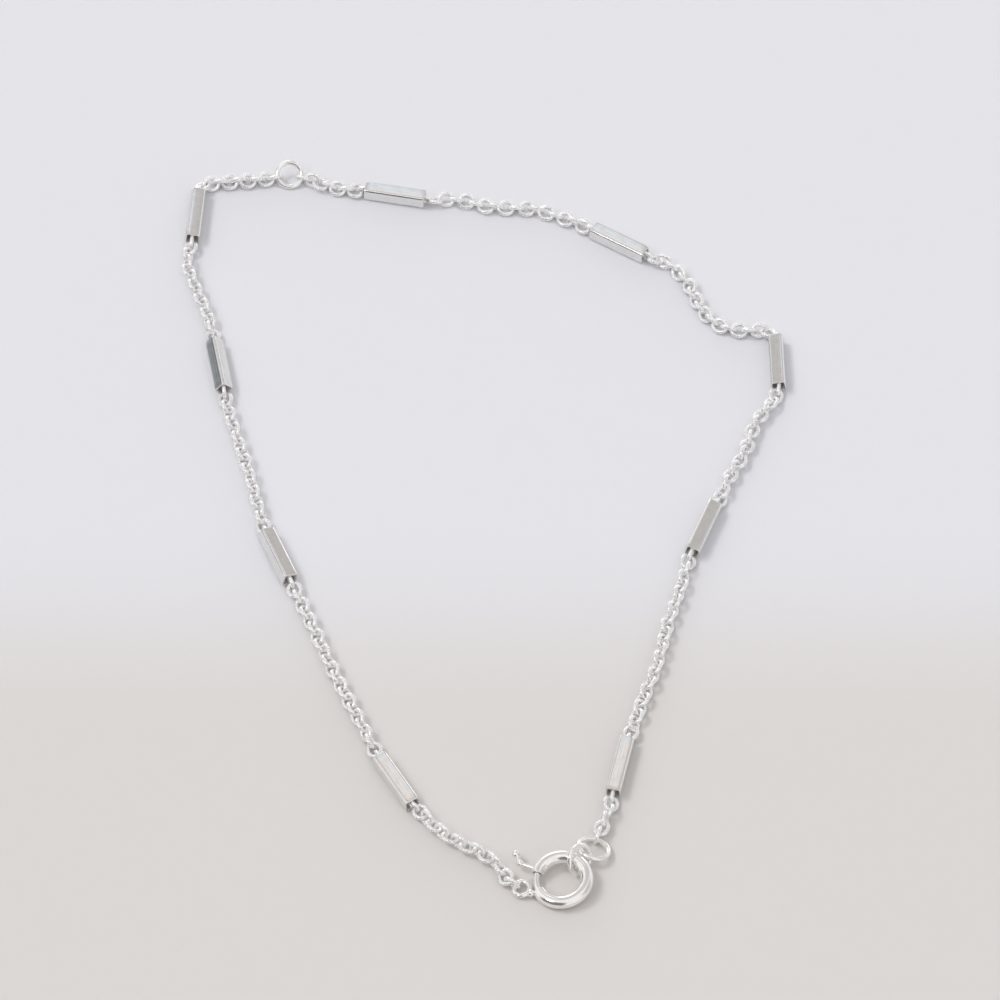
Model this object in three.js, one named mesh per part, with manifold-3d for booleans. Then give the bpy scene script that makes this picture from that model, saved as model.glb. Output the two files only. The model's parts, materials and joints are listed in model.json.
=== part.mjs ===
// Chain bracelet: nine hollow square bars joined by fine cable chain, a plain wire ring in the middle of
// the back, and a spring-ring clasp fastened to an end ring. The whole loop lies flat. Millimetres, +Z up,
// z = 0 is the surface under it and the origin is under the middle of the loop. +Y points to the back.
import * as THREE from "three";
import { mergeVertices } from "three/addons/utils/BufferGeometryUtils.js";
import Module from "manifold-3d";

const wasm = await Module();
wasm.setup();

// ---- driving dimensions: lengths in millimetres, angles in degrees ------------------------------------

const BAR_LENGTH = 5;
const BAR_SIDE = 1.2;
const BAR_WALL = 0.15;
const BAR_CORNER = 0.22; // radius of the bar's long edges

const CHAIN_WIDTH = 1.1; // across the links
const CHAIN_SIDES = 8;
const CHAIN_STEP = 2 * CHAIN_WIDTH; // length of one straight step of a stretch

const CLASP_X = 6.1;
const CLASP_Y = -33.8;
const CLASP_RADIUS = 1.9; // to the middle of the tube
const CLASP_TUBE = 1.0; // outside diameter of the tube
const CLASP_BORE = 0.72;
const CLASP_SLOPE = 9.2; // the jump ring's wire lies under the clasp's back and lifts it
const LINK_HEADING = 50; // the way from the clasp's middle to the rings linked to it

// Angles round the clasp, anticlockwise from +X.
const MOUTH = { start: 163, end: 206 };
const SLOT = { start: 101, end: 157.5, width: 0.46 };
const BOLT = { start: 118, end: 208.5, diameter: 0.52 };
const STEM_WIDTH = 0.3;
const STEM_ROOT = { radius: CLASP_RADIUS, angle: 152 };
const TRIGGER_BEAD = { radius: 3.45, angle: 154, size: 0.48 }; // the stem bends here
const TRIGGER_BALL = { radius: 4.1, angle: 146, size: 0.66 };
const EYE = { radius: 3.05, angle: 191, middle: 0.58, wire: 0.38 };
const SOLDER = { radius: 2.52, angle: 203.5, size: 0.6 };

// How many flats the round shapes are cut into.
const FACETS = {
  corner: 4, // a bar's long edge
  wire: 10, // round a ring's wire
  ring: 28, // along a ring
  eye: 20, // along the eye
  tube: 16, // round the clasp's tube
  bore: 10, // round its bore and the bolt
  clasp: 48, // along the clasp
  bolt: 18, // along the bolt
  slab: 16, // along the mouth's and the slot's curves
  ball: [12, 8],
};
const MERGE_DISTANCE = 1e-5; // vertices nearer than this are one

const FINISH = {
  bar: { color: 0xd9d8d5, roughness: 0.3 },
  chain: { color: 0xe2e1de, roughness: 0.25 },
  ring: { color: 0xe6e4e0, roughness: 0.2 },
  clasp: { color: 0xe4e3e1, roughness: 0.12 },
};

// The bars in order round the loop, from the clasp's eye. heading is the way a bar points, on round the
// loop, and roll is how far it is turned on its own length.
const BARS = [
  { name: "bar_1", x: -6.4, y: -24.8, heading: 121, roll: 0 },
  { name: "bar_2", x: -15.8, y: -3.7, heading: 113, roll: 16 },
  { name: "bar_3", x: -21.0, y: 15.2, heading: 101, roll: 46 },
  { name: "bar_4", x: -23.4, y: 30.9, heading: 86, roll: 8 },
  { name: "bar_5", x: -7.1, y: 33.2, heading: 349, roll: 0 },
  { name: "bar_6", x: 11.2, y: 28.1, heading: 328, roll: 0 },
  { name: "bar_7", x: 23.7, y: 15.6, heading: 271, roll: 10 },
  { name: "bar_8", x: 17.4, y: -1.0, heading: 248, roll: -14 },
  { name: "bar_9", x: 10.6, y: -23.5, heading: 257, roll: 0 },
];

// The chain's route on the surface: the [x, y] points that each stretch passes, fitting to fitting.
const CHAIN_ROUTES = {
  chain_1: [[2.2, -33.9], [1.6, -32.7], [0.3, -31.4], [-1.5, -30.4], [-3.3, -29], [-4.8, -27.2]],
  chain_2: [[-7.8, -22.4], [-9.5, -18.6], [-11.5, -14.1], [-13, -10.3], [-14.65, -6.35]],
  chain_3: [[-16.9, -1.1], [-17.6, 1.6], [-18.3, 4.5], [-19.3, 7.9], [-20.1, 10.7], [-20.5, 12.5]],
  chain_4: [[-21.5, 17.9], [-22, 20.3], [-23.1, 23.3], [-23.9, 26.1], [-23.6, 28.1]],
  chain_5a: [[-22.8, 34.2], [-21.4, 34.5], [-19.4, 34.7], [-17.3, 35]],
  chain_5b: [[-14.3, 34.9], [-12.9, 34.3], [-11.4, 33.8], [-9.8, 33.7]],
  chain_6: [[-4.4, 32.7], [-2.1, 32.7], [0.9, 31.9], [3.9, 31.7], [6.7, 30.7], [8.8, 29.6]],
  chain_7: [[13.6, 26.6], [15.1, 25.9], [16.7, 23.9], [17.9, 20.9], [19.5, 19.3], [21.3, 18.95], [22.9, 18.85]],
  chain_8: [[23.7, 12.8], [23, 11.4], [21.8, 9.5], [20.8, 6.5], [19.5, 3.9], [18.6, 1.6]],
  chain_9: [[16.3, -3.6], [15.4, -7.1], [14.4, -10.3], [13.6, -13.9], [12.4, -17.3], [11.3, -20.8]],
  chain_10: [[10, -26.2], [9.6, -27.8], [9, -29.4]],
};

// The plain wire rings, each resting on its lowest point. heading is the way its level diameter runs, and
// slope is how steeply its plane rises to the left of that heading.
const RINGS = [
  { name: "mid_ring", ...at(-15.8, 35.2), middle: 1.0, wire: 0.4, heading: 358, slope: 35 },
  { name: "jump_ring", ...pastClasp(2.13), middle: 1.05, wire: 0.38, heading: LINK_HEADING, slope: 60 },
  { name: "end_ring", ...pastClasp(3.75), middle: 1.15, wire: 0.44, heading: LINK_HEADING + 90, slope: 21.5 },
];

// ---- small helpers ------------------------------------------------------------------------------------

function rad(degrees) {
  return THREE.MathUtils.degToRad(degrees);
}

function at(x, y) {
  return { x, y };
}

function pastClasp(distance) {
  return at(
    CLASP_X + distance * Math.cos(rad(LINK_HEADING)),
    CLASP_Y + distance * Math.sin(rad(LINK_HEADING)),
  );
}

// A point at a radius and an angle round the clasp's middle, in the clasp's own plane.
function onClasp({ radius, angle }) {
  return new THREE.Vector3(radius * Math.cos(rad(angle)), radius * Math.sin(rad(angle)), 0);
}

function silver(finish) {
  return new THREE.MeshStandardMaterial({ ...finish, metalness: 1 });
}

function named(name, geometry, material) {
  const mesh = new THREE.Mesh(geometry, material);
  mesh.name = name;
  return mesh;
}

function toSolid(geometry) {
  const bare = geometry.clone();
  bare.deleteAttribute("normal");
  bare.deleteAttribute("uv");
  const merged = mergeVertices(bare, MERGE_DISTANCE);
  return new wasm.Manifold(
    new wasm.Mesh({
      numProp: 3,
      vertProperties: Float32Array.from(merged.attributes.position.array),
      triVerts: Uint32Array.from(merged.index.array),
    }),
  );
}

function toGeometry(solid) {
  const mesh = solid.getMesh();
  const geometry = new THREE.BufferGeometry();
  geometry.setAttribute("position", new THREE.Float32BufferAttribute(mesh.vertProperties, 3));
  geometry.setIndex([...mesh.triVerts]);
  geometry.computeVertexNormals();
  return geometry;
}

// ---- bars ---------------------------------------------------------------------------------------------

function squareOutline(path, side, corner) {
  const half = side / 2;
  const straight = half - corner;
  path.moveTo(straight, -half);
  path.absarc(straight, -straight, corner, rad(-90), rad(0), false);
  path.absarc(straight, straight, corner, rad(0), rad(90), false);
  path.absarc(-straight, straight, corner, rad(90), rad(180), false);
  path.absarc(-straight, -straight, corner, rad(180), rad(270), false);
  path.closePath();
  return path;
}

function barGeometry() {
  const section = squareOutline(new THREE.Shape(), BAR_SIDE, BAR_CORNER);
  section.holes.push(squareOutline(new THREE.Path(), BAR_SIDE - 2 * BAR_WALL, BAR_CORNER - BAR_WALL));
  const tube = new THREE.ExtrudeGeometry(section, {
    depth: BAR_LENGTH,
    bevelEnabled: false,
    curveSegments: FACETS.corner,
  });
  tube.translate(0, 0, -BAR_LENGTH / 2);
  tube.rotateY(rad(90));
  return tube;
}

function makeBar({ name, x, y, heading, roll }) {
  const bar = named(name, barGeometry(), silver(FINISH.bar));
  const flat = BAR_SIDE / 2 - BAR_CORNER;
  const turned = Math.abs(rad(roll));
  const height = flat * (Math.cos(turned) + Math.sin(turned)) + BAR_CORNER;
  bar.position.set(x, y, height);
  bar.rotation.set(rad(roll), 0, rad(heading), "ZYX");
  return bar;
}

// ---- chain --------------------------------------------------------------------------------------------

function chainSection() {
  const corner = CHAIN_WIDTH / 2 / Math.cos(Math.PI / CHAIN_SIDES);
  const section = new THREE.Shape();
  for (let i = 0; i < CHAIN_SIDES; i += 1) {
    const turn = ((i + 0.5) * 2 * Math.PI) / CHAIN_SIDES;
    const point = [corner * Math.cos(turn), corner * Math.sin(turn)];
    if (i === 0) section.moveTo(...point);
    else section.lineTo(...point);
  }
  section.closePath();
  return section;
}

function makeChain([name, route]) {
  const points = route.map(([x, y]) => new THREE.Vector3(x, y, CHAIN_WIDTH / 2));
  const curve = new THREE.CatmullRomCurve3(points, false, "catmullrom", 0.5);
  const steps = Math.round(curve.getLength() / CHAIN_STEP);
  const tube = new THREE.ExtrudeGeometry(chainSection(), { steps, extrudePath: curve });
  return named(name, tube, silver(FINISH.chain));
}

// ---- rings --------------------------------------------------------------------------------------------

function torus(middle, diameter, sides, steps) {
  return new THREE.TorusGeometry(middle, diameter / 2, sides, steps);
}

function makeRing({ name, x, y, middle, wire, heading, slope }) {
  const ring = named(name, torus(middle, wire, FACETS.wire, FACETS.ring), silver(FINISH.ring));
  ring.position.set(x, y, middle * Math.sin(rad(slope)) + wire / 2);
  ring.rotation.set(rad(slope), 0, rad(heading), "ZYX");
  return ring;
}

// ---- clasp --------------------------------------------------------------------------------------------

// A slab across the clasp's plane, between two radii and two angles.
function sector({ start, end }, inner, outer, thickness) {
  const shape = new THREE.Shape();
  shape.absarc(0, 0, outer, rad(start), rad(end), false);
  shape.absarc(0, 0, inner, rad(end), rad(start), true);
  shape.closePath();
  const slab = new THREE.ExtrudeGeometry(shape, {
    depth: thickness,
    bevelEnabled: false,
    curveSegments: FACETS.slab,
  });
  slab.translate(0, 0, -thickness / 2);
  return toSolid(slab);
}

function ball(place, size) {
  const sphere = new THREE.SphereGeometry(size / 2, ...FACETS.ball);
  sphere.translate(...onClasp(place));
  return toSolid(sphere);
}

function claspRingGeometry() {
  const eye = torus(EYE.middle, EYE.wire, FACETS.wire, FACETS.eye);
  eye.translate(...onClasp(EYE));
  const past = CLASP_RADIUS + CLASP_TUBE;
  return toGeometry(
    toSolid(torus(CLASP_RADIUS, CLASP_TUBE, FACETS.tube, FACETS.clasp))
      .subtract(toSolid(torus(CLASP_RADIUS, CLASP_BORE, FACETS.bore, FACETS.clasp)))
      .subtract(sector(MOUTH, CLASP_RADIUS - CLASP_TUBE, past, 2 * CLASP_TUBE))
      .subtract(sector(SLOT, CLASP_RADIUS, past, SLOT.width))
      .add(toSolid(eye))
      .add(ball(SOLDER, SOLDER.size)),
  );
}

class BoltPath extends THREE.Curve {
  getPoint(t, target = new THREE.Vector3()) {
    const angle = THREE.MathUtils.lerp(BOLT.start, BOLT.end, t);
    return target.copy(onClasp({ radius: CLASP_RADIUS, angle }));
  }
}

function rod(root, tip) {
  const along = tip.clone().sub(root);
  const pin = new THREE.CylinderGeometry(STEM_WIDTH / 2, STEM_WIDTH / 2, along.length(), FACETS.wire);
  const turn = new THREE.Quaternion().setFromUnitVectors(new THREE.Vector3(0, 1, 0), along.normalize());
  pin.applyQuaternion(turn);
  pin.translate(...root.clone().add(tip).multiplyScalar(0.5));
  return toSolid(pin);
}

function claspBoltGeometry() {
  const section = new THREE.Shape();
  section.absarc(0, 0, BOLT.diameter / 2, 0, 2 * Math.PI, false);
  const bolt = new THREE.ExtrudeGeometry(section, {
    steps: FACETS.bolt,
    curveSegments: FACETS.bore / 2,
    extrudePath: new BoltPath(),
  });
  return toGeometry(
    toSolid(bolt)
      .add(rod(onClasp(STEM_ROOT), onClasp(TRIGGER_BEAD)))
      .add(rod(onClasp(TRIGGER_BEAD), onClasp(TRIGGER_BALL)))
      .add(ball(TRIGGER_BEAD, TRIGGER_BEAD.size))
      .add(ball(TRIGGER_BALL, TRIGGER_BALL.size)),
  );
}

// The clasp lies with its edge on the surface and its back, towards the linked rings, lifted.
function makeClasp() {
  const clasp = new THREE.Group();
  const lift = CLASP_RADIUS * Math.sin(rad(CLASP_SLOPE)) + CLASP_TUBE / 2;
  const hinge = rad(LINK_HEADING - 90);
  clasp.position.set(CLASP_X, CLASP_Y, lift);
  clasp.quaternion.setFromAxisAngle(new THREE.Vector3(Math.cos(hinge), Math.sin(hinge), 0), rad(CLASP_SLOPE));
  clasp.add(named("clasp_ring", claspRingGeometry(), silver(FINISH.clasp)));
  clasp.add(named("clasp_bolt", claspBoltGeometry(), silver(FINISH.clasp)));
  return clasp;
}

// ---- the bracelet -------------------------------------------------------------------------------------

const bracelet = new THREE.Group();
bracelet.add(...BARS.map(makeBar), ...Object.entries(CHAIN_ROUTES).map(makeChain));
bracelet.add(...RINGS.map(makeRing), makeClasp());

export default bracelet;
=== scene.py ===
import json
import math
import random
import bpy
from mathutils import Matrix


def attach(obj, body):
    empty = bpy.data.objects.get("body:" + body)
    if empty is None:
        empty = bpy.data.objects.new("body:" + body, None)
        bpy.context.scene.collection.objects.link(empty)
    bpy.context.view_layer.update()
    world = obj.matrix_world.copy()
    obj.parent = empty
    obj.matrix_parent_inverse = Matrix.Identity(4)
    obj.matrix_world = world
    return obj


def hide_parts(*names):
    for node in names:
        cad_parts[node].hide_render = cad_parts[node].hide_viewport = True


bl_info = {
    "name": "Bar and Cable Chain Bracelet",
    "version": (1, 0, 0),
    "blender": (4, 5, 0),
    "location": "3D View > Sidebar > Bracelet",
    "description": "Dresses the chain bracelet: silver bars, oval links, wire rings and a spring-ring clasp",
    "category": "Add Mesh",
}

from collections import namedtuple

import bmesh
import bpy
import numpy as np
from bpy.props import FloatProperty, FloatVectorProperty, IntProperty, PointerProperty
from mathutils import Matrix, Vector

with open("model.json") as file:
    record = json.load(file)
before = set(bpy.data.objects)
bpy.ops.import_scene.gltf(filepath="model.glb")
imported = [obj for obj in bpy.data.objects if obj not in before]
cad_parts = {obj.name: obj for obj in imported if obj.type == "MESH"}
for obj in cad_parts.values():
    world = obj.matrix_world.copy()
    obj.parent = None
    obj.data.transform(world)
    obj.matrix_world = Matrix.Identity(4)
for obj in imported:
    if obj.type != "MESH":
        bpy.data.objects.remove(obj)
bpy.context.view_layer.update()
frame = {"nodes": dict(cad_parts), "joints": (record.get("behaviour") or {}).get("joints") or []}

MM = 0.001
BODY = "bracelet"
BOLT_BODY = "clasp_bolt"
UP = Vector((0, 0, 1))
ALL_SMOOTH = 180  # degrees: no edge of the mesh is sharper

# ---- the loop, fitting to fitting ---------------------------------------------------------------------

# Each stretch of chain: the fittings it goes from and to, its lean, and its route on the surface in
# millimetres. The lean is how far its links are turned out of the flat and the upright, in degrees.
Stretch = namedtuple("Stretch", "name start end lean route")
STRETCHES = (
    Stretch("chain_1", "eye", "bar_1", 20,
            [(2.2, -33.9), (1.6, -32.7), (0.3, -31.4), (-1.5, -30.4), (-3.3, -29), (-4.8, -27.2)]),
    Stretch("chain_2", "bar_1", "bar_2", 45,
            [(-7.8, -22.4), (-9.5, -18.6), (-11.5, -14.1), (-13, -10.3), (-14.65, -6.35)]),
    Stretch("chain_3", "bar_2", "bar_3", 45,
            [(-16.9, -1.1), (-17.6, 1.6), (-18.3, 4.5), (-19.3, 7.9), (-20.1, 10.7), (-20.5, 12.5)]),
    Stretch("chain_4", "bar_3", "bar_4", 40,
            [(-21.5, 17.9), (-22, 20.3), (-23.1, 23.3), (-23.9, 26.1), (-23.6, 28.1)]),
    Stretch("chain_5a", "bar_4", "mid_ring", 30,
            [(-22.8, 34.2), (-21.4, 34.5), (-19.4, 34.7), (-17.3, 35)]),
    Stretch("chain_5b", "mid_ring", "bar_5", 30,
            [(-14.3, 34.9), (-12.9, 34.3), (-11.4, 33.8), (-9.8, 33.7)]),
    Stretch("chain_6", "bar_5", "bar_6", 30,
            [(-4.4, 32.7), (-2.1, 32.7), (0.9, 31.9), (3.9, 31.7), (6.7, 30.7), (8.8, 29.6)]),
    Stretch("chain_7", "bar_6", "bar_7", 35,
            [(13.6, 26.6), (15.1, 25.9), (16.7, 23.9), (17.9, 20.9), (19.5, 19.3), (21.3, 18.95),
             (22.9, 18.85)]),
    Stretch("chain_8", "bar_7", "bar_8", 10,
            [(23.7, 12.8), (23, 11.4), (21.8, 9.5), (20.8, 6.5), (19.5, 3.9), (18.6, 1.6)]),
    Stretch("chain_9", "bar_8", "bar_9", 45,
            [(16.3, -3.6), (15.4, -7.1), (14.4, -10.3), (13.6, -13.9), (12.4, -17.3), (11.3, -20.8)]),
    Stretch("chain_10", "bar_9", "end_ring", 30,
            [(10, -26.2), (9.6, -27.8), (9, -29.4)]),
)
BARS = tuple(f"bar_{number}" for number in range(1, 10))
RINGS = ("mid_ring", "jump_ring", "end_ring")


# ---- settings -----------------------------------------------------------------------------------------


def length(name, description, millimetres):
    """A length property, stated in millimetres."""
    return FloatProperty(
        name=name,
        description=description,
        default=millimetres * MM,
        min=0,
        precision=5,
        subtype="DISTANCE",
        unit="LENGTH",
    )


def turn(name, description, degrees):
    """An angle property, stated in degrees."""
    return FloatProperty(
        name=name,
        description=description,
        default=math.radians(degrees),
        subtype="ANGLE",
        unit="ROTATION",
    )


def share(name, description, value):
    """A plain number from nought to one."""
    return FloatProperty(name=name, description=description, default=value, min=0, max=1, subtype="FACTOR")


def colour(name, description, value):
    """A colour property."""
    return FloatVectorProperty(
        name=name,
        description=description,
        default=value,
        min=0,
        max=1,
        subtype="COLOR",
    )


class SilverSettings(bpy.types.PropertyGroup):
    """The finish of each kind of piece."""

    bar: colour("Bar silver", "Colour of the bars' satin outside", (0.86, 0.85, 0.83))
    bar_inside: colour("Inside silver", "Colour of the pickled inside of the bars", (0.8, 0.77, 0.75))
    bar_roughness: share("Bar roughness", "How satin the bars are", 0.2)
    inside_roughness: share("Inside roughness", "How dull the inside of the bars is", 0.55)
    link: colour("Link silver", "Colour of the chain's links", (0.98, 0.97, 0.96))
    link_roughness: share("Link roughness", "How satin the links are", 0.24)
    ring: colour("Ring silver", "Colour of the plain wire rings", (0.98, 0.965, 0.94))
    ring_roughness: share("Ring roughness", "How satin the rings are", 0.12)
    clasp: colour("Clasp silver", "Colour of the clasp", (0.99, 0.965, 0.935))
    clasp_roughness: share("Clasp roughness", "How satin the clasp is", 0.08)


class LinkSettings(bpy.types.PropertyGroup):
    """The chain's links."""

    wire: length("Wire", "Diameter of the links' wire", 0.33)
    long: length("Length", "Length of a link over its wire", 1.5)
    wide: length("Width", "Width of a link over its wire", 1.3)
    snug: length("Snug width", "Width of the last link, which goes into a bar's mouth", 0.89)
    unrest: turn("Unrest", "How far a link may be turned out of its place", 11)
    seed: IntProperty(name="Seed", description="Another number lays the links another way", default=7)
    along: IntProperty(name="Steps", description="Steps along a link", default=36, min=12)
    around: IntProperty(name="Sides", description="Sides of the wire", default=12, min=6)


class BarSettings(bpy.types.PropertyGroup):
    """The hollow square bars."""

    wall: length("Wall", "Thickness of a bar's wall", 0.15)
    corner: length("Corner", "Radius of a bar's long edges", 0.22)
    rim: length("Rim", "Radius at the edges of a bar's mouth", 0.05)
    crown: length("Crown", "How far a bar's flats swell in the middle", 0.003)


class ClaspSettings(bpy.types.PropertyGroup):
    """The spring-ring clasp. Angles go round the clasp, anticlockwise from the right."""

    radius: length("Radius", "From the clasp's middle to the middle of its tube", 1.9)
    tube: length("Tube", "Outside diameter of the tube", 1.0)
    bore: length("Bore", "Inside diameter of the tube", 0.72)
    mouth_start: turn("Mouth start", "Where the tube ends before the mouth", 163)
    mouth_end: turn("Mouth end", "Where the tube begins after the mouth", 206)
    slot_start: turn("Slot start", "Where the trigger's slot begins", 101)
    slot_end: turn("Slot end", "Where the trigger's slot ends", 157.5)
    slot: length("Slot", "Width of the trigger's slot", 0.46)
    bolt: length("Bolt", "Diameter of the bolt", 0.52)
    bolt_start: turn("Bolt start", "Where the bolt's hidden end lies", 118)
    bolt_end: turn("Bolt end", "Where the bolt's nose lies", 208.5)
    stem: length("Stem", "Diameter of the trigger's stem", 0.3)
    stem_angle: turn("Stem angle", "Where the stem leaves the bolt", 152)
    bead: length("Bead", "Diameter of the bead where the stem bends", 0.56)
    bead_radius: length("Bead place", "From the clasp's middle to the bead", 3.45)
    bead_angle: turn("Bead angle", "Where the bead is", 154)
    ball: length("Ball", "Diameter of the trigger's ball", 0.66)
    ball_radius: length("Ball place", "From the clasp's middle to the ball", 4.1)
    ball_angle: turn("Ball angle", "Where the ball is", 146)
    eye: length("Eye", "Radius of the eye to the middle of its wire", 0.58)
    eye_wire: length("Eye wire", "Diameter of the eye's wire", 0.38)
    eye_radius: length("Eye place", "From the clasp's middle to the eye's", 3.05)
    eye_angle: turn("Eye angle", "Where the eye is", 191)
    solder: length("Solder", "Diameter of the eye's soldered foot", 0.6)
    solder_radius: length("Solder place", "From the clasp's middle to the soldered foot", 2.52)
    solder_angle: turn("Solder angle", "Where the soldered foot is", 203.5)


class StageSettings(bpy.types.PropertyGroup):
    """The floor, the light and the camera."""

    floor: colour("Floor", "Colour of the floor", (0.78, 0.78, 0.808))
    # painted shade: the floor's darker, warmer tone in front
    floor_front: colour("Floor front", "Colour of the floor in front", (0.712, 0.683, 0.655))
    elevation: turn("Elevation", "The camera's angle above the floor", 53)
    distance: length("Distance", "From the camera to the middle of the view", 437.4)
    lens: FloatProperty(name="Lens", description="Focal length in millimetres", default=200, min=20)
    aim_x: length("Aim X", "Middle of the view, to the right of the loop's middle", 1.5)
    aim_y: length("Aim Y", "Middle of the view, behind the loop's middle", 2.3)
    sun: FloatProperty(name="Key light", description="Strength of the key light", default=0.8, min=0)
    sky: FloatProperty(name="Room light", description="Strength of the light of the room", default=1.0, min=0)


# ---- reading the frame --------------------------------------------------------------------------------


def points_of(name):
    """A CAD node's points, each of them once."""
    points = [v.co[:] for v in frame["nodes"][name].data.vertices]
    return np.unique(np.round(points, decimals=7), axis=0)


def facing(middle, normal):
    """A place and the way its Z points, as a matrix."""
    return Matrix.Translation(middle) @ UP.rotation_difference(normal).to_matrix().to_4x4()


def node_axes(name):
    """Middle, long direction and most upright flat's normal of a CAD node that is a square tube."""
    points = points_of(name)
    middle = Vector((points.min(0) + points.max(0)) / 2)
    along = Vector(np.linalg.svd(points - np.array(middle))[2][0])
    flat = max(frame["nodes"][name].data.polygons, key=lambda face: face.area).normal
    flat = (flat - along * flat.dot(along)).normalized()
    across = along.cross(flat)
    upright = max((flat, -flat, across, -across), key=lambda way: way.z)
    return middle, along, upright


def bar_place(name):
    """The bar's middle, its direction and its top, as a matrix, with its length and side."""
    middle, along, top = node_axes(name)
    side = top.cross(along)
    points = [v.co - middle for v in frame["nodes"][name].data.vertices]
    matrix = Matrix((along, side, top)).transposed().to_4x4()
    matrix.translation = middle
    long = 2 * max(p.dot(along) for p in points)
    thick = 2 * max(p.dot(top) for p in points)
    return matrix, long, thick


def ring_place(name):
    """Middle, normal, radius to the wire's middle and wire diameter of a CAD node that is a ring."""
    points = points_of(name)
    middle = (points.min(0) + points.max(0)) / 2
    spokes = points - middle
    normal = np.linalg.svd(spokes)[2][2]
    normal = normal * math.copysign(1, normal[2])
    reach = np.linalg.norm(spokes - np.outer(spokes @ normal, normal), axis=1)
    radius, wire = (reach.max() + reach.min()) / 2, reach.max() - reach.min()
    return Vector(middle), Vector(normal), radius, wire


def clasp_matrix():
    """The clasp's own plane: its middle is the trigger's pivot, and its Z is against the trigger's axis."""
    trigger = frame["joints"][0]
    return facing(trigger["pos_m"], -Vector(trigger["axis"]).normalized())


def on_clasp(radius, angle):
    """A place in the clasp's plane."""
    return Vector((radius * math.cos(angle), radius * math.sin(angle), 0))


def ring_point(middle, normal, radius, toward):
    """The point of a ring's wire that is nearest to a place beside it."""
    way = toward - middle
    way = (way - normal * way.dot(normal)).normalized()
    return middle + way * radius


# ---- meshes -------------------------------------------------------------------------------------------


def finish_piece(mesh, matrix, materials, body, slot_name, *nodes):
    """Links a mesh as a piece that rides on a body and stands for its CAD nodes."""
    piece = bpy.data.objects.new(mesh.name, mesh)
    bpy.context.scene.collection.objects.link(piece)
    piece.matrix_world = matrix
    for material in materials:
        mesh.materials.append(material)
    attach(piece, body)
    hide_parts(*nodes)


def mesh_of(name, points, faces, angle):
    """A mesh in metres from points in millimetres, smooth but for edges sharper than the angle."""
    mesh = bpy.data.meshes.new(name)
    mesh.from_pydata([tuple(p) for p in np.asarray(points) * MM], [], faces)
    mesh.validate()
    mesh.shade_smooth()
    mesh.set_sharp_from_angle(angle=math.radians(angle))
    return mesh


def grid_faces(rows, columns):
    """Quads of a surface that closes both ways, rows by columns of points."""
    faces = []
    for i in range(rows):
        for j in range(columns):
            a, b = i * columns, (i + 1) % rows * columns
            k = (j + 1) % columns
            faces.append((a + j, b + j, b + k, a + k))
    return faces


SEAM_PLACE = math.pi / 2  # where a loop of wire is soldered: in the middle of a long side
SEAM_REACH = 0.2  # how far the seam's swelling goes along the loop, in radians


def wire_loop(half_long, half_wide, wire, along, around, seam=0.05):
    """Points of an oval of wire in its own plane. seam is how much thicker it is where it is soldered."""
    t = np.linspace(0, 2 * math.pi, along, endpoint=False)
    u = np.linspace(0, 2 * math.pi, around, endpoint=False)
    line = np.stack([half_long * np.cos(t), half_wide * np.sin(t), 0 * t], 1)
    out = np.stack([half_wide * np.cos(t), half_long * np.sin(t), 0 * t], 1)
    out /= np.linalg.norm(out, axis=1)[:, None]
    swell = 1 + seam * np.exp(-(((t - SEAM_PLACE) / SEAM_REACH) ** 2))
    radius = (wire / 2 * swell)[:, None, None]
    up = np.array([0, 0, 1.0])
    ring = np.cos(u)[None, :, None] * out[:, None, :] + np.sin(u)[None, :, None] * up
    return (line[:, None, :] + radius * ring).reshape(-1, 3)


# ---- materials ----------------------------------------------------------------------------------------


class Nodes:
    """Adds nodes to a tree and joins them up."""

    def __init__(self, tree):
        self.tree = tree

    def add(self, kind, **settings):
        """A new node with its settings."""
        node = self.tree.nodes.new(kind)
        for key, value in settings.items():
            setattr(node, key, value)
        return node

    def join(self, source, target):
        """A link from an output to an input."""
        self.tree.links.new(source, target)

    def noise(self, vector, scale, detail, rough=0.5):
        """Noise from 0 to 1."""
        node = self.add("ShaderNodeTexNoise")
        node.inputs["Scale"].default_value = scale
        node.inputs["Detail"].default_value = detail
        node.inputs["Roughness"].default_value = rough
        self.join(vector, node.inputs["Vector"])
        return node.outputs["Fac"]

    def spread(self, value, low, high, start=0.0, end=1.0, smooth=False):
        """Maps a value from start..end to low..high."""
        node = self.add("ShaderNodeMapRange")
        if smooth:
            node.interpolation_type = "SMOOTHSTEP"
        self.join(value, node.inputs["Value"])
        for key, number in (("From Min", start), ("From Max", end), ("To Min", low), ("To Max", high)):
            node.inputs[key].default_value = number
        return node.outputs["Result"]

    def blend(self, factor, first, second):
        """Mixes two colours, each a socket or a plain colour."""
        node = self.add("ShaderNodeMix", data_type="RGBA")
        self.join(factor, node.inputs["Factor"])
        for value, socket in ((first, node.inputs["A"]), (second, node.inputs["B"])):
            if isinstance(value, bpy.types.NodeSocket):
                self.join(value, socket)
            else:
                socket.default_value = (*value, 1)
        return node.outputs["Result"]


def scaled(colour_value, factor):
    """A colour made darker or lighter."""
    return tuple(c * factor for c in colour_value)


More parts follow.
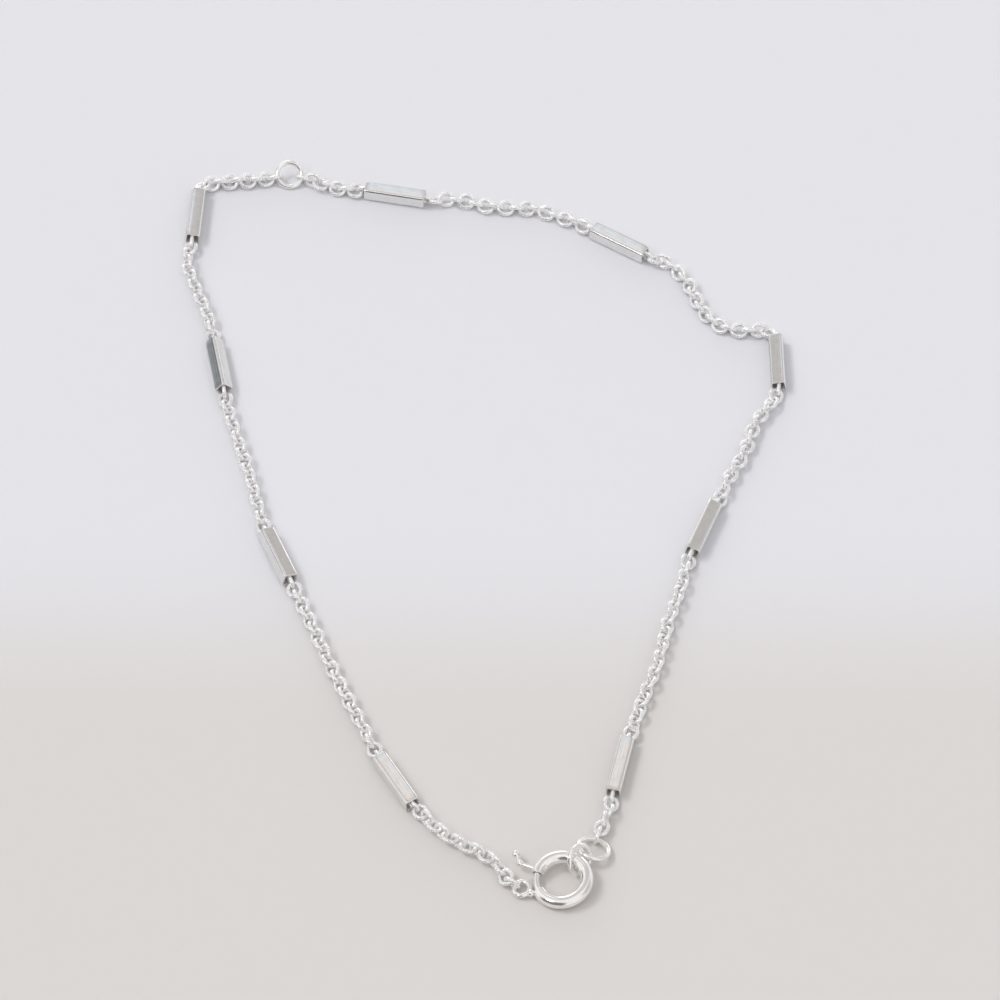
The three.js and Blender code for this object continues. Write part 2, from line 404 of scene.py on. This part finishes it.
def silver(name, base, roughness, *, depth, dull, grain=(1, 1, 1), bare=1):
    """Silver with a faint grain, uneven polish and duller patches. depth is how deep its scratches are in
    millimetres, dull the patches' share of its tone, grain how close together the scratches lie each way,
    and bare how little of its white pickled skin is left."""
    material = bpy.data.materials.new(name)
    material.use_nodes = True
    n = Nodes(material.node_tree)
    shader = material.node_tree.nodes["Principled BSDF"]
    shader.inputs["Metallic"].default_value = bare
    place = n.add("ShaderNodeTexCoord").outputs["Object"]
    in_mm = n.add("ShaderNodeMapping")
    in_mm.inputs["Scale"].default_value = (1 / MM,) * 3
    n.join(place, in_mm.inputs["Vector"])
    stretched = n.add("ShaderNodeMapping")
    stretched.inputs["Scale"].default_value = [g / MM for g in grain]
    n.join(place, stretched.inputs["Vector"])
    patches = n.noise(in_mm.outputs["Vector"], scale=1.6, detail=3)
    tone = n.spread(patches, 0, 1, start=0.42, end=0.68, smooth=True)
    n.join(n.blend(tone, tuple(base), scaled(base, dull)), shader.inputs["Base Color"])
    scratches = n.noise(stretched.outputs["Vector"], scale=9, detail=4, rough=0.6)
    polish = n.spread(scratches, low=0.7 * roughness, high=1.35 * roughness, start=0.3, end=0.7)
    n.join(polish, shader.inputs["Roughness"])
    bump = n.add("ShaderNodeBump")
    bump.inputs["Distance"].default_value = depth * MM
    bump.inputs["Strength"].default_value = 1
    n.join(scratches, bump.inputs["Height"])
    n.join(bump.outputs["Normal"], shader.inputs["Normal"])
    return material


# ---- chain --------------------------------------------------------------------------------------------


class Path:
    """A smooth path through points, measured along its length."""

    STEPS = 24  # short straight steps from each point to the next

    def __init__(self, points):
        p = [np.array(point, float) for point in points]
        p = [2 * p[0] - p[1], *p, 2 * p[-1] - p[-2]]  # with one more beyond each end
        line = [p[1]]
        for a, b, c, d in zip(p, p[1:], p[2:], p[3:]):
            t = [0.0]
            for first, second in ((a, b), (b, c), (c, d)):
                t.append(t[-1] + math.sqrt(np.linalg.norm(second - first)))
            line += [self.between(a, b, c, d, t, s) for s in np.linspace(t[1], t[2], self.STEPS + 1)[1:]]
        self.line = np.array(line)
        steps = np.linalg.norm(np.diff(self.line, axis=0), axis=1)
        self.at_length = np.concatenate([[0], np.cumsum(steps)])
        self.length = self.at_length[-1]

    @staticmethod
    def between(a, b, c, d, t, s):
        """A point of the centripetal curve from b to c."""

        def mix(p, q, low, high):
            return (high - s) / (high - low) * p + (s - low) / (high - low) * q

        ab, bc, cd = mix(a, b, t[0], t[1]), mix(b, c, t[1], t[2]), mix(c, d, t[2], t[3])
        return mix(mix(ab, bc, t[0], t[2]), mix(bc, cd, t[1], t[3]), t[1], t[2])

    def point(self, s):
        """The place at a length along the path."""
        return Vector([np.interp(s, self.at_length, self.line[:, k]) for k in range(3)])

    def direction(self, s, half):
        """The way the path goes at a length, from half before it to half past it."""
        return (self.point(s + half) - self.point(s - half)).normalized()


class Fitting:
    """Where a stretch meets a bar, a ring or the eye, in millimetres: the place, the way out, the way the
    last link is widest, how far that link's middle is from the place, and whether it is a snug one."""

    INSIDE = 0.8  # the path goes on this far into the fitting
    PAST_MOUTH = 0.06  # the last link's middle is this far out of a bar's mouth

    def __init__(self, name, toward, link):
        toward = Vector((*toward, link.lift))
        if name.startswith("bar"):
            self.at_bar(name, toward)
        else:
            self.at_ring(name, toward, link)

    def at_bar(self, name, toward):
        """The last link goes into the bar's open end."""
        matrix, long, _ = bar_place(name)
        along = Vector(matrix.col[0][:3])
        middle = matrix.translation / MM
        self.out = along * math.copysign(1, (toward - middle).dot(along))
        self.place = middle + self.out * long / MM / 2
        self.wide = UP
        self.middle = self.PAST_MOUTH
        self.snug = True

    def at_ring(self, name, toward, link):
        """The last link goes round the wire of a ring or of the clasp's eye."""
        if name == "eye":
            c = bpy.context.scene.bracelet_clasp
            matrix = clasp_matrix()
            middle = matrix @ on_clasp(c.eye_radius, c.eye_angle)
            normal, radius, wire = Vector(matrix.col[2][:3]), c.eye, c.eye_wire
        else:
            middle, normal, radius, wire = ring_place(name)
        self.place = ring_point(middle, normal, radius, toward * MM) / MM
        self.out = (self.place - middle / MM).normalized()
        self.wide = normal
        self.middle = link.inner_half - wire / MM / 2
        self.snug = False


class LinkShape:
    """A link's sizes in millimetres and its points. lift is the height of its middle when it leans by 45
    degrees."""

    def __init__(self, settings):
        self.wire = settings.wire / MM
        self.half_long = (settings.long / MM - self.wire) / 2
        self.half_wide = (settings.wide / MM - self.wire) / 2
        self.inner_half = self.half_long - self.wire / 2
        self.pitch = 2 * self.inner_half
        self.lift = self.half_wide * math.sqrt(0.5) + self.wire / 2
        steps = (settings.along, settings.around)
        snug_half = (settings.snug / MM - self.wire) / 2
        self.points = wire_loop(self.half_long, self.half_wide, self.wire, *steps)
        self.snug_points = wire_loop(self.half_long, snug_half, self.wire, *steps, seam=0)
        self.faces = np.array(grid_faces(*steps))

    def placed(self, middle, way, roll, snug):
        """The link's points with its middle, direction and roll, and never under the surface."""
        side = UP.cross(way).normalized()
        width = side * math.cos(roll) + way.cross(side) * math.sin(roll)
        matrix = np.array([way, width, way.cross(width)])
        points = (self.snug_points if snug else self.points) @ matrix + np.array(middle)
        return points + [0, 0, max(0, -points[:, 2].min())]


def roll_of(way, wide):
    """How far a link that is widest along wide is turned about the way it points."""
    side = UP.cross(way).normalized()
    return math.atan2(wide.dot(way.cross(side)), wide.dot(side))


def rolls_between(count, first_roll, last_roll, lean, settle=3):
    """How far each link of a stretch is turned: a quarter turn from one to the next, all of them leaning
    alike, but for the few links next to a fitting, which turn to fit it."""
    quarter = math.pi / 2
    rolls = [lean + quarter * i for i in range(count)]
    first_turn = (first_roll - rolls[0] + quarter) % math.pi - quarter
    last_turn = (last_roll - rolls[-1] + quarter) % math.pi - quarter
    for i in range(count):
        rolls[i] += first_turn * max(0, 1 - i / settle)
        rolls[i] += last_turn * max(0, 1 - (count - 1 - i) / settle)
    return rolls


YAW_SHARE = 0.6  # how much of its unrest a link has in the way it points


def chain_mesh(stretch, settings, dice):
    """One stretch of links as one mesh, and how many they are."""
    link = LinkShape(settings)
    first = Fitting(stretch.start, stretch.route[0], link)
    last = Fitting(stretch.end, stretch.route[-1], link)
    inner = [Vector((x, y, link.lift)) for x, y in stretch.route]
    lead_in = first.place - first.out * first.INSIDE
    lead_out = last.place - last.out * last.INSIDE
    path = Path([lead_in, first.place, *inner, last.place, lead_out])
    begin = first.INSIDE + first.middle
    stop = path.length - last.INSIDE - last.middle
    count = math.ceil((stop - begin) / link.pitch) + 1
    pitch = (stop - begin) / (count - 1)
    places = [begin + i * pitch for i in range(count)]
    ways = [path.direction(s, link.inner_half) for s in places]
    fitted = roll_of(ways[0], first.wide), roll_of(ways[-1], last.wide)
    rolls = rolls_between(count, *fitted, math.radians(stretch.lean))
    verts, faces = [], []
    for i, (s, way, roll) in enumerate(zip(places, ways, rolls)):
        unrest = settings.unrest if 0 < i < count - 1 else 0
        roll += dice.uniform(-1, 1) * unrest
        yaw = Matrix.Rotation(dice.uniform(-YAW_SHARE, YAW_SHARE) * unrest, 3, "Z")
        snug = first.snug if i == 0 else last.snug and i == count - 1
        faces.append(link.faces + sum(len(v) for v in verts))
        verts.append(link.placed(path.point(s), yaw @ way, roll, snug))
    name = f"{stretch.name}_links"
    mesh = mesh_of(name, np.concatenate(verts), np.concatenate(faces).tolist(), ALL_SMOOTH)
    return mesh, count


class BRACELET_OT_chain(bpy.types.Operator):
    """Lay the links of every stretch of chain"""

    bl_idname = "bracelet.chain"
    bl_label = "Chain"

    def execute(self, context):
        scene = context.scene
        settings, finish = scene.bracelet_links, scene.bracelet_silver
        material = silver(
            "polished_link_silver",
            finish.link,
            finish.link_roughness,
            depth=0.0003,
            dull=0.93,
            bare=0.72,
        )
        dice = random.Random(settings.seed)
        total = 0
        for stretch in STRETCHES:
            mesh, count = chain_mesh(stretch, settings, dice)
            finish_piece(mesh, Matrix(), [material], BODY, "chain_silver", stretch.name)
            total += count
        print("links:", total)
        return {"FINISHED"}


# ---- bars ---------------------------------------------------------------------------------------------


def square_ring(half, corner, crown, flat_steps=4, corner_steps=6):
    """Points of a square with round corners and crowned flats, anticlockwise."""
    straight = half - corner
    points = []
    for quarter in range(4):
        turned = np.array(Matrix.Rotation(quarter * math.pi / 2, 2))
        for t in np.linspace(-1, 1, flat_steps + 1):
            points.append(turned @ (half + crown * (1 - t * t), straight * t))
        for angle in np.linspace(0, math.pi / 2, corner_steps + 1)[1:-1]:
            edge = (straight + corner * math.cos(angle), straight + corner * math.sin(angle))
            points.append(turned @ edge)
    return points


def rim_stations(half_long, wall, rim, steps=4):
    """Places from the outside to the inside round one mouth of a tube: along it and into its wall."""
    stations = []
    for angle in np.linspace(0, math.pi / 2, steps + 1):
        stations.append((half_long - rim + rim * math.sin(angle), rim - rim * math.cos(angle)))
    for angle in np.linspace(0, math.pi / 2, steps + 1):
        stations.append((half_long - rim + rim * math.cos(angle), wall - rim + rim * math.sin(angle)))
    return stations


def bar_mesh(name, long, side, settings, segments=10):
    """A hollow square bar along X, whose outside, rims and inside are one closed surface, and which of its
    faces are the inside."""
    half, wall, rim = long / 2 / MM, settings.wall / MM, settings.rim / MM
    corner, crown = settings.corner / MM, settings.crown / MM
    reach = half - rim
    outside = [(x, 0) for x in np.linspace(-reach, reach, segments + 1)[1:-1]]
    front = rim_stations(half, wall, rim)
    inside = [(-x, wall) for x, _ in outside]
    back = [(-x, depth) for x, depth in reversed(front)]
    stations = outside + front + inside + back
    points = []
    for x, depth in stations:
        for y, z in square_ring(side / 2 / MM - depth - crown, corner - depth, crown):
            points.append((x, y, z))
    around = len(points) // len(stations)
    mesh = mesh_of(name, points, grid_faces(len(stations), around), angle=60)
    rim_end = len(outside) + len(front)
    return mesh, slice((rim_end - 1) * around, (rim_end + len(inside)) * around)


class BRACELET_OT_bars(bpy.types.Operator):
    """Build the hollow square bars"""

    bl_idname = "bracelet.bars"
    bl_label = "Bars"

    def execute(self, context):
        finish, settings = context.scene.bracelet_silver, context.scene.bracelet_bars
        satin = silver(
            "satin_bar_silver",
            finish.bar,
            finish.bar_roughness,
            depth=0.00015,
            dull=0.95,
            grain=(0.05, 0.9, 0.9),
        )
        pickled = silver(
            "pickled_bar_inside",
            finish.bar_inside,
            finish.inside_roughness,
            depth=0.003,
            dull=0.85,
            bare=0.2,
        )
        materials = [satin, pickled]
        for name in BARS:
            matrix, long, side = bar_place(name)
            mesh, inside = bar_mesh(f"{name}_tube", long, side, settings)
            finish_piece(mesh, matrix, materials, BODY, "bar_silver", name)
            for face in mesh.polygons[inside]:
                face.material_index = materials.index(pickled)
        return {"FINISHED"}


# ---- rings --------------------------------------------------------------------------------------------


class BRACELET_OT_rings(bpy.types.Operator):
    """Build the three plain wire rings"""

    bl_idname = "bracelet.rings"
    bl_label = "Wire rings"
    STEPS = (96, 24)  # along a ring and round its wire

    def execute(self, context):
        finish = context.scene.bracelet_silver
        material = silver(
            "polished_wire_silver",
            finish.ring,
            finish.ring_roughness,
            depth=0.0006,
            dull=0.92,
            bare=0.78,
        )
        for name in RINGS:
            middle, normal, radius, wire = ring_place(name)
            points = wire_loop(radius / MM, radius / MM, wire / MM, *self.STEPS, seam=0.03)
            mesh = mesh_of(f"{name}_wire", points, grid_faces(*self.STEPS), ALL_SMOOTH)
            finish_piece(mesh, facing(middle, normal), [material], BODY, "ring_silver", name)
        return {"FINISHED"}


# ---- clasp --------------------------------------------------------------------------------------------


CUT_EDGE = 0.035  # rounding of the edges of the tube's mouth and slot, in millimetres
CUT_ANGLE = math.radians(50)  # an edge of the tube that is sharper than this is rounded


def clasp_tube(c):
    """The clasp's tube in its own plane, in millimetres: outside, bore, mouth and the trigger's slot."""
    radius, outer, inner = c.radius / MM, c.tube / MM / 2, c.bore / MM / 2
    slot_half = c.slot / MM / 2
    full = 2 * math.pi
    to_slot, along_slot, to_mouth = 80, 20, 4
    stations = [*np.linspace(c.mouth_end, full + c.slot_start, to_slot)]
    slot_from = len(stations) - 1
    stations += [*np.linspace(full + c.slot_start, full + c.slot_end, along_slot)[1:]]
    slot_to = len(stations) - 1
    stations += [*np.linspace(full + c.slot_end, full + c.mouth_start, to_mouth)[1:]]
    end = len(stations) - 1
    slot_cells, side_cells = 4, 32
    columns = slot_cells + side_cells
    bm = bmesh.new()

    def surface(tube_radius):
        """Rows of points round the tube, the slot's cells first."""
        slot_angle = math.asin(slot_half / tube_radius)
        angles = [*np.linspace(-slot_angle, slot_angle, slot_cells + 1)]
        angles += [*np.linspace(slot_angle, full - slot_angle, side_cells + 1)[1:-1]]
        rows = []
        for alpha in stations:
            row = []
            for theta in angles:
                reach = radius + tube_radius * math.cos(theta)
                place = (reach * math.cos(alpha), reach * math.sin(alpha), tube_radius * math.sin(theta))
                row.append(bm.verts.new(place))
            rows.append(row)
        return rows

    out, bore = surface(outer), surface(inner)
    for i in range(end):
        in_slot = slot_from <= i < slot_to
        for j in range(columns):
            k = (j + 1) % columns
            if in_slot and j < slot_cells:
                continue
            for rows in (out, bore):
                bm.faces.new((rows[i][j], rows[i + 1][j], rows[i + 1][k], rows[i][k]))
        if in_slot:
            for j in (0, slot_cells):
                bm.faces.new((out[i][j], out[i + 1][j], bore[i + 1][j], bore[i][j]))
    for i, cells in ((0, columns), (end, columns), (slot_from, slot_cells), (slot_to, slot_cells)):
        for j in range(cells):
            k = (j + 1) % columns
            bm.faces.new((out[i][j], out[i][k], bore[i][k], bore[i][j]))
    bmesh.ops.recalc_face_normals(bm, faces=bm.faces)
    cut = [e for e in bm.edges if len(e.link_faces) == 2 and e.calc_face_angle() > CUT_ANGLE]
    bmesh.ops.bevel(bm, geom=cut, offset=CUT_EDGE, segments=3, profile=0.5, affect="EDGES")
    return bm


def tube_along(bm, line, radii, sides=20):
    """A closed round tube along points in the clasp's plane, with a radius at each."""
    rings = []
    for i, (place, radius) in enumerate(zip(line, radii)):
        way = (line[min(i + 1, len(line) - 1)] - line[max(i - 1, 0)]).normalized()
        side = UP.cross(way)
        ring = []
        for theta in np.linspace(0, 2 * math.pi, sides, endpoint=False):
            ring.append(bm.verts.new(place + (side * math.cos(theta) + UP * math.sin(theta)) * radius))
        rings.append(ring)
    for a, b in zip(rings, rings[1:]):
        for j in range(sides):
            bm.faces.new((a[j], b[j], b[(j + 1) % sides], a[(j + 1) % sides]))
    bm.faces.new(rings[0])
    bm.faces.new(reversed(rings[-1]))


TIP = 0.001  # the smallest radius that a round end closes to, in millimetres


def round_ends(stations, radius, top):
    """Radii that close a tube of some length with a round end at its start and at top."""
    radii = []
    for s in stations:
        near = min(s, top - s, radius)
        radii.append(math.sqrt(max(radius**2 - (radius - near) ** 2, TIP**2)))
    return radii


def fused(bm, voxel, passes):
    """The parts of a mesh run together into one skin, as metal does where it is soldered. voxel is the size
    of the skin's cells in millimetres, and passes how many times it is smoothed."""
    mesh = bpy.data.meshes.new("rough")
    bm.to_mesh(mesh)
    bm.free()
    rough = bpy.data.objects.new("rough", mesh)
    bpy.context.scene.collection.objects.link(rough)
    remesh = rough.modifiers.new("Fuse", "REMESH")
    remesh.mode = "VOXEL"
    remesh.voxel_size = voxel
    skin = rough.evaluated_get(bpy.context.evaluated_depsgraph_get()).to_mesh()
    smooth = bmesh.new()
    smooth.from_mesh(skin)
    rough.to_mesh_clear()
    bpy.data.objects.remove(rough)
    bpy.data.meshes.remove(mesh)
    axes = {"use_axis_x": True, "use_axis_y": True, "use_axis_z": True}
    for _ in range(passes):
        bmesh.ops.smooth_vert(smooth, verts=smooth.verts, factor=0.5, **axes)
    return smooth


def to_mesh(name, bm, angle):
    """A bmesh in millimetres as a mesh in metres, smooth but for edges sharper than the angle."""
    bmesh.ops.scale(bm, vec=(MM,) * 3, verts=bm.verts)
    bmesh.ops.recalc_face_normals(bm, faces=bm.faces)
    mesh = bpy.data.meshes.new(name)
    bm.to_mesh(mesh)
    bm.free()
    mesh.shade_smooth()
    mesh.set_sharp_from_angle(angle=math.radians(angle))
    return mesh


def add_ball(bm, middle, size):
    """A ball of some diameter, in metres, added to a mesh in millimetres."""
    ball = bmesh.ops.create_icosphere(bm, subdivisions=4, radius=size / MM / 2)
    bmesh.ops.translate(bm, verts=ball["verts"], vec=middle)


def eye_mesh(c):
    """The eye and its soldered foot, run together."""
    bm = bmesh.new()
    middle = on_clasp(c.eye_radius / MM, c.eye_angle)
    steps = (72, 20)
    loop = wire_loop(c.eye / MM, c.eye / MM, c.eye_wire / MM, *steps, seam=0)
    verts = [bm.verts.new(Vector(p) + middle) for p in loop]
    for face in grid_faces(*steps):
        bm.faces.new([verts[i] for i in face])
    foot = on_clasp(c.solder_radius / MM, c.solder_angle)
    add_ball(bm, foot, c.solder)
    return to_mesh("clasp_eye", fused(bm, voxel=0.022, passes=6), ALL_SMOOTH)


def bolt_mesh(c):
    """The curved bolt with its round nose, and the trigger's stem, bead and ball."""
    bm = bmesh.new()
    radius, thick = c.radius / MM, c.bolt / MM / 2
    steps = 48
    stations = np.linspace(0, 1, steps)
    top = radius * (c.bolt_end - c.bolt_start)
    line = [on_clasp(radius, c.bolt_start + (c.bolt_end - c.bolt_start) * s) for s in stations]
    tube_along(bm, line, round_ends(stations * top, thick, top))
    root = on_clasp(radius, c.stem_angle)
    tip = on_clasp(c.ball_radius / MM, c.ball_angle)
    bead = on_clasp(c.bead_radius / MM, c.bead_angle)
    for start, end, size in ((root, bead, c.bead), (bead, tip, c.ball)):
        tube_along(bm, [start.lerp(end, t) for t in (0, 0.5, 1)], [c.stem / MM / 2] * 3)
        add_ball(bm, end, size)
    bmesh.ops.recalc_face_normals(bm, faces=bm.faces)
    return to_mesh("clasp_bolt_and_trigger", fused(bm, voxel=0.025, passes=4), ALL_SMOOTH)


class BRACELET_OT_clasp(bpy.types.Operator):
    """Build the spring-ring clasp: its tube, its eye, and the bolt with its trigger"""

    bl_idname = "bracelet.clasp"
    bl_label = "Clasp"

    def execute(self, context):
        finish, c = context.scene.bracelet_silver, context.scene.bracelet_clasp
        matrix = clasp_matrix()
        bright = silver(
            "bright_clasp_silver",
            finish.clasp,
            finish.clasp_roughness,
            depth=0.0004,
            dull=0.95,
            bare=0.85,
        )
        tube = to_mesh("clasp_tube", clasp_tube(c), angle=35)
        finish_piece(tube, matrix, [bright], BODY, "clasp_silver", "clasp_ring")
        finish_piece(eye_mesh(c), matrix, [bright], BODY, "clasp_silver", "clasp_ring")
        finish_piece(bolt_mesh(c), matrix, [bright], BOLT_BODY, "clasp_silver", "clasp_bolt")
        return {"FINISHED"}


# ---- stage --------------------------------------------------------------------------------------------

ROOM = (0.88, 0.88, 0.905)  # the room's own tone, between the patches

# Patches of light and shade in the room, each laid over those above it: the way to its middle, how far it
# reaches and how far it is at full strength, both in degrees, and its tone.
Patch = namedtuple("Patch", "way reach core tone")
PATCHES = (
    Patch((0.12, 0.61, 0.78), 42, 24, (0.54, 0.525, 0.52)),  # shade, behind and above
    Patch((0, 0.53, 0.848), 9, 4.5, (1.01, 0.905, 0.84)),  # warm light in that shade
    Patch((0, 0.67, 0.742), 8.5, 4.5, (0.85, 0.94, 1.03)),  # cool light under the warm one
    Patch((-0.25, 0.93, 0.28), 18, 8, (2.4, 2.4, 2.4)),  # bright, low behind to the left
    Patch((0.47, 0.87, 0.16), 9, 4, (2.6, 2.6, 2.6)),  # bright, low behind to the right
    Patch((-0.5, -0.8, 0.32), 40, 26, (0.11, 0.1, 0.095)),  # dark, low in front to the left
    Patch((-0.9, 0.43, 0.1), 22, 14, (0.2, 0.22, 0.24)),  # dark, low on the left
    Patch((0.87, -0.1, 0.48), 30, 14, (0.5, 0.49, 0.48)),  # shade, on the right
    Patch((-0.5, -0.42, 0.76), 9, 5, (6, 6, 6)),  # a small lamp, above in front to the left
)

KEY_WAY = Vector((-0.55, 0.15, 0.85))  # the way to the key light
KEY_SOFTNESS = math.radians(18)  # how wide the key light looks
FLOOR_HALF = 3  # half the floor's side, in metres
FLOOR_ROUGHNESS = 0.7
FRONT_EDGE, BACK_EDGE = -0.02, 0.0  # between these, in metres, the floor turns from its painted shade in front, darker and warmer, to its cooler plain tone behind
NEAREST, FARTHEST = 0.01, 10  # what the camera sees, in metres


def room_light(scene, strength):
    """The room round the bracelet: pale, with soft bright and dark patches for the silver to show."""
    world = bpy.data.worlds.new("pale_room")
    scene.world = world
    world.use_nodes = True
    n = Nodes(world.node_tree)
    back = world.node_tree.nodes["Background"]
    way = n.add("ShaderNodeTexCoord").outputs["Generated"]
    shade = ROOM
    for patch in PATCHES:
        near = n.add("ShaderNodeVectorMath", operation="DOT_PRODUCT")
        n.join(way, near.inputs[0])
        near.inputs[1].default_value = Vector(patch.way).normalized()
        edge, core = math.cos(math.radians(patch.reach)), math.cos(math.radians(patch.core))
        inside = n.spread(near.outputs["Value"], 0, 1, start=edge, end=core, smooth=True)
        shade = n.blend(inside, shade, patch.tone)
    n.join(shade, back.inputs["Color"])
    back.inputs["Strength"].default_value = strength


class BRACELET_OT_stage(bpy.types.Operator):
    """Lay the floor and set the light and the camera"""

    bl_idname = "bracelet.stage"
    bl_label = "Stage"

    def execute(self, context):
        scene = context.scene
        settings = scene.bracelet_stage
        self.lay_floor(scene, settings)
        room_light(scene, settings.sky)
        self.hang_key_light(scene, settings)
        self.set_camera(scene, settings)
        scene.view_settings.view_transform = "Standard"
        return {"FINISHED"}

    def lay_floor(self, scene, settings):
        """A wide pale floor with painted shade in front, where it is darker and warmer."""
        material = bpy.data.materials.new("pale_floor")
        material.use_nodes = True
        n = Nodes(material.node_tree)
        shader = material.node_tree.nodes["Principled BSDF"]
        place = n.add("ShaderNodeTexCoord").outputs["Object"]
        split = n.add("ShaderNodeSeparateXYZ")
        n.join(place, split.inputs["Vector"])
        # painted shade: the floor is darker and warmer towards the front
        back = n.spread(split.outputs["Y"], 0, 1, start=FRONT_EDGE, end=BACK_EDGE, smooth=True)
        tone = n.blend(back, tuple(settings.floor_front), tuple(settings.floor))
        n.join(tone, shader.inputs["Base Color"])
        shader.inputs["Roughness"].default_value = FLOOR_ROUGHNESS
        bm = bmesh.new()
        bmesh.ops.create_grid(bm, x_segments=1, y_segments=1, size=FLOOR_HALF)
        mesh = bpy.data.meshes.new("floor")
        bm.to_mesh(mesh)
        bm.free()
        mesh.materials.append(material)
        floor = bpy.data.objects.new("floor", mesh)
        scene.collection.objects.link(floor)

    def hang_key_light(self, scene, settings):
        """The light that casts the soft shadows. The silver shows the room instead of it."""
        light = bpy.data.lights.new("key_light", "SUN")
        light.energy = settings.sun
        light.angle = KEY_SOFTNESS
        key = bpy.data.objects.new("key_light", light)
        key.visible_glossy = False
        scene.collection.objects.link(key)
        key.rotation_euler = KEY_WAY.to_track_quat("Z", "Y").to_euler()

    def set_camera(self, scene, settings):
        """The camera, in front of the loop and above it."""
        lens = bpy.data.cameras.new("camera")
        lens.lens = settings.lens
        lens.clip_start, lens.clip_end = NEAREST, FARTHEST
        camera = bpy.data.objects.new("camera", lens)
        scene.collection.objects.link(camera)
        back = Vector((0, -math.cos(settings.elevation), math.sin(settings.elevation)))
        camera.location = Vector((settings.aim_x, settings.aim_y, 0)) + back * settings.distance
        camera.rotation_euler = (math.pi / 2 - settings.elevation, 0, 0)
        scene.camera = camera


# ---- panel and registration ---------------------------------------------------------------------------

SETTINGS = {
    "bracelet_silver": SilverSettings,
    "bracelet_links": LinkSettings,
    "bracelet_bars": BarSettings,
    "bracelet_clasp": ClaspSettings,
    "bracelet_stage": StageSettings,
}
OPERATORS = (
    BRACELET_OT_stage,
    BRACELET_OT_chain,
    BRACELET_OT_bars,
    BRACELET_OT_rings,
    BRACELET_OT_clasp,
)


class BRACELET_PT_panel(bpy.types.Panel):
    """Lists the bracelet's pieces and their settings"""

    bl_idname = "BRACELET_PT_panel"
    bl_label = "Bracelet"
    bl_space_type = "VIEW_3D"
    bl_region_type = "UI"
    bl_category = "Bracelet"

    def draw(self, context):
        for operator in OPERATORS:
            self.layout.operator(operator.bl_idname)
        for name, group in SETTINGS.items():
            box = self.layout.box()
            box.label(text=group.__doc__.split(".")[0])
            for key in group.__annotations__:
                box.prop(getattr(context.scene, name), key)


CLASSES = (*SETTINGS.values(), *OPERATORS, BRACELET_PT_panel)


def register():
    for each in CLASSES:
        bpy.utils.register_class(each)
    for name, group in SETTINGS.items():
        setattr(bpy.types.Scene, name, PointerProperty(type=group))


def unregister():
    for name in SETTINGS:
        delattr(bpy.types.Scene, name)
    for each in reversed(CLASSES):
        bpy.utils.unregister_class(each)


def main():
    register()
    bpy.ops.bracelet.stage()
    bpy.ops.bracelet.chain()
    bpy.ops.bracelet.bars()
    bpy.ops.bracelet.rings()
    bpy.ops.bracelet.clasp()


if __name__ == "__main__":
    main()
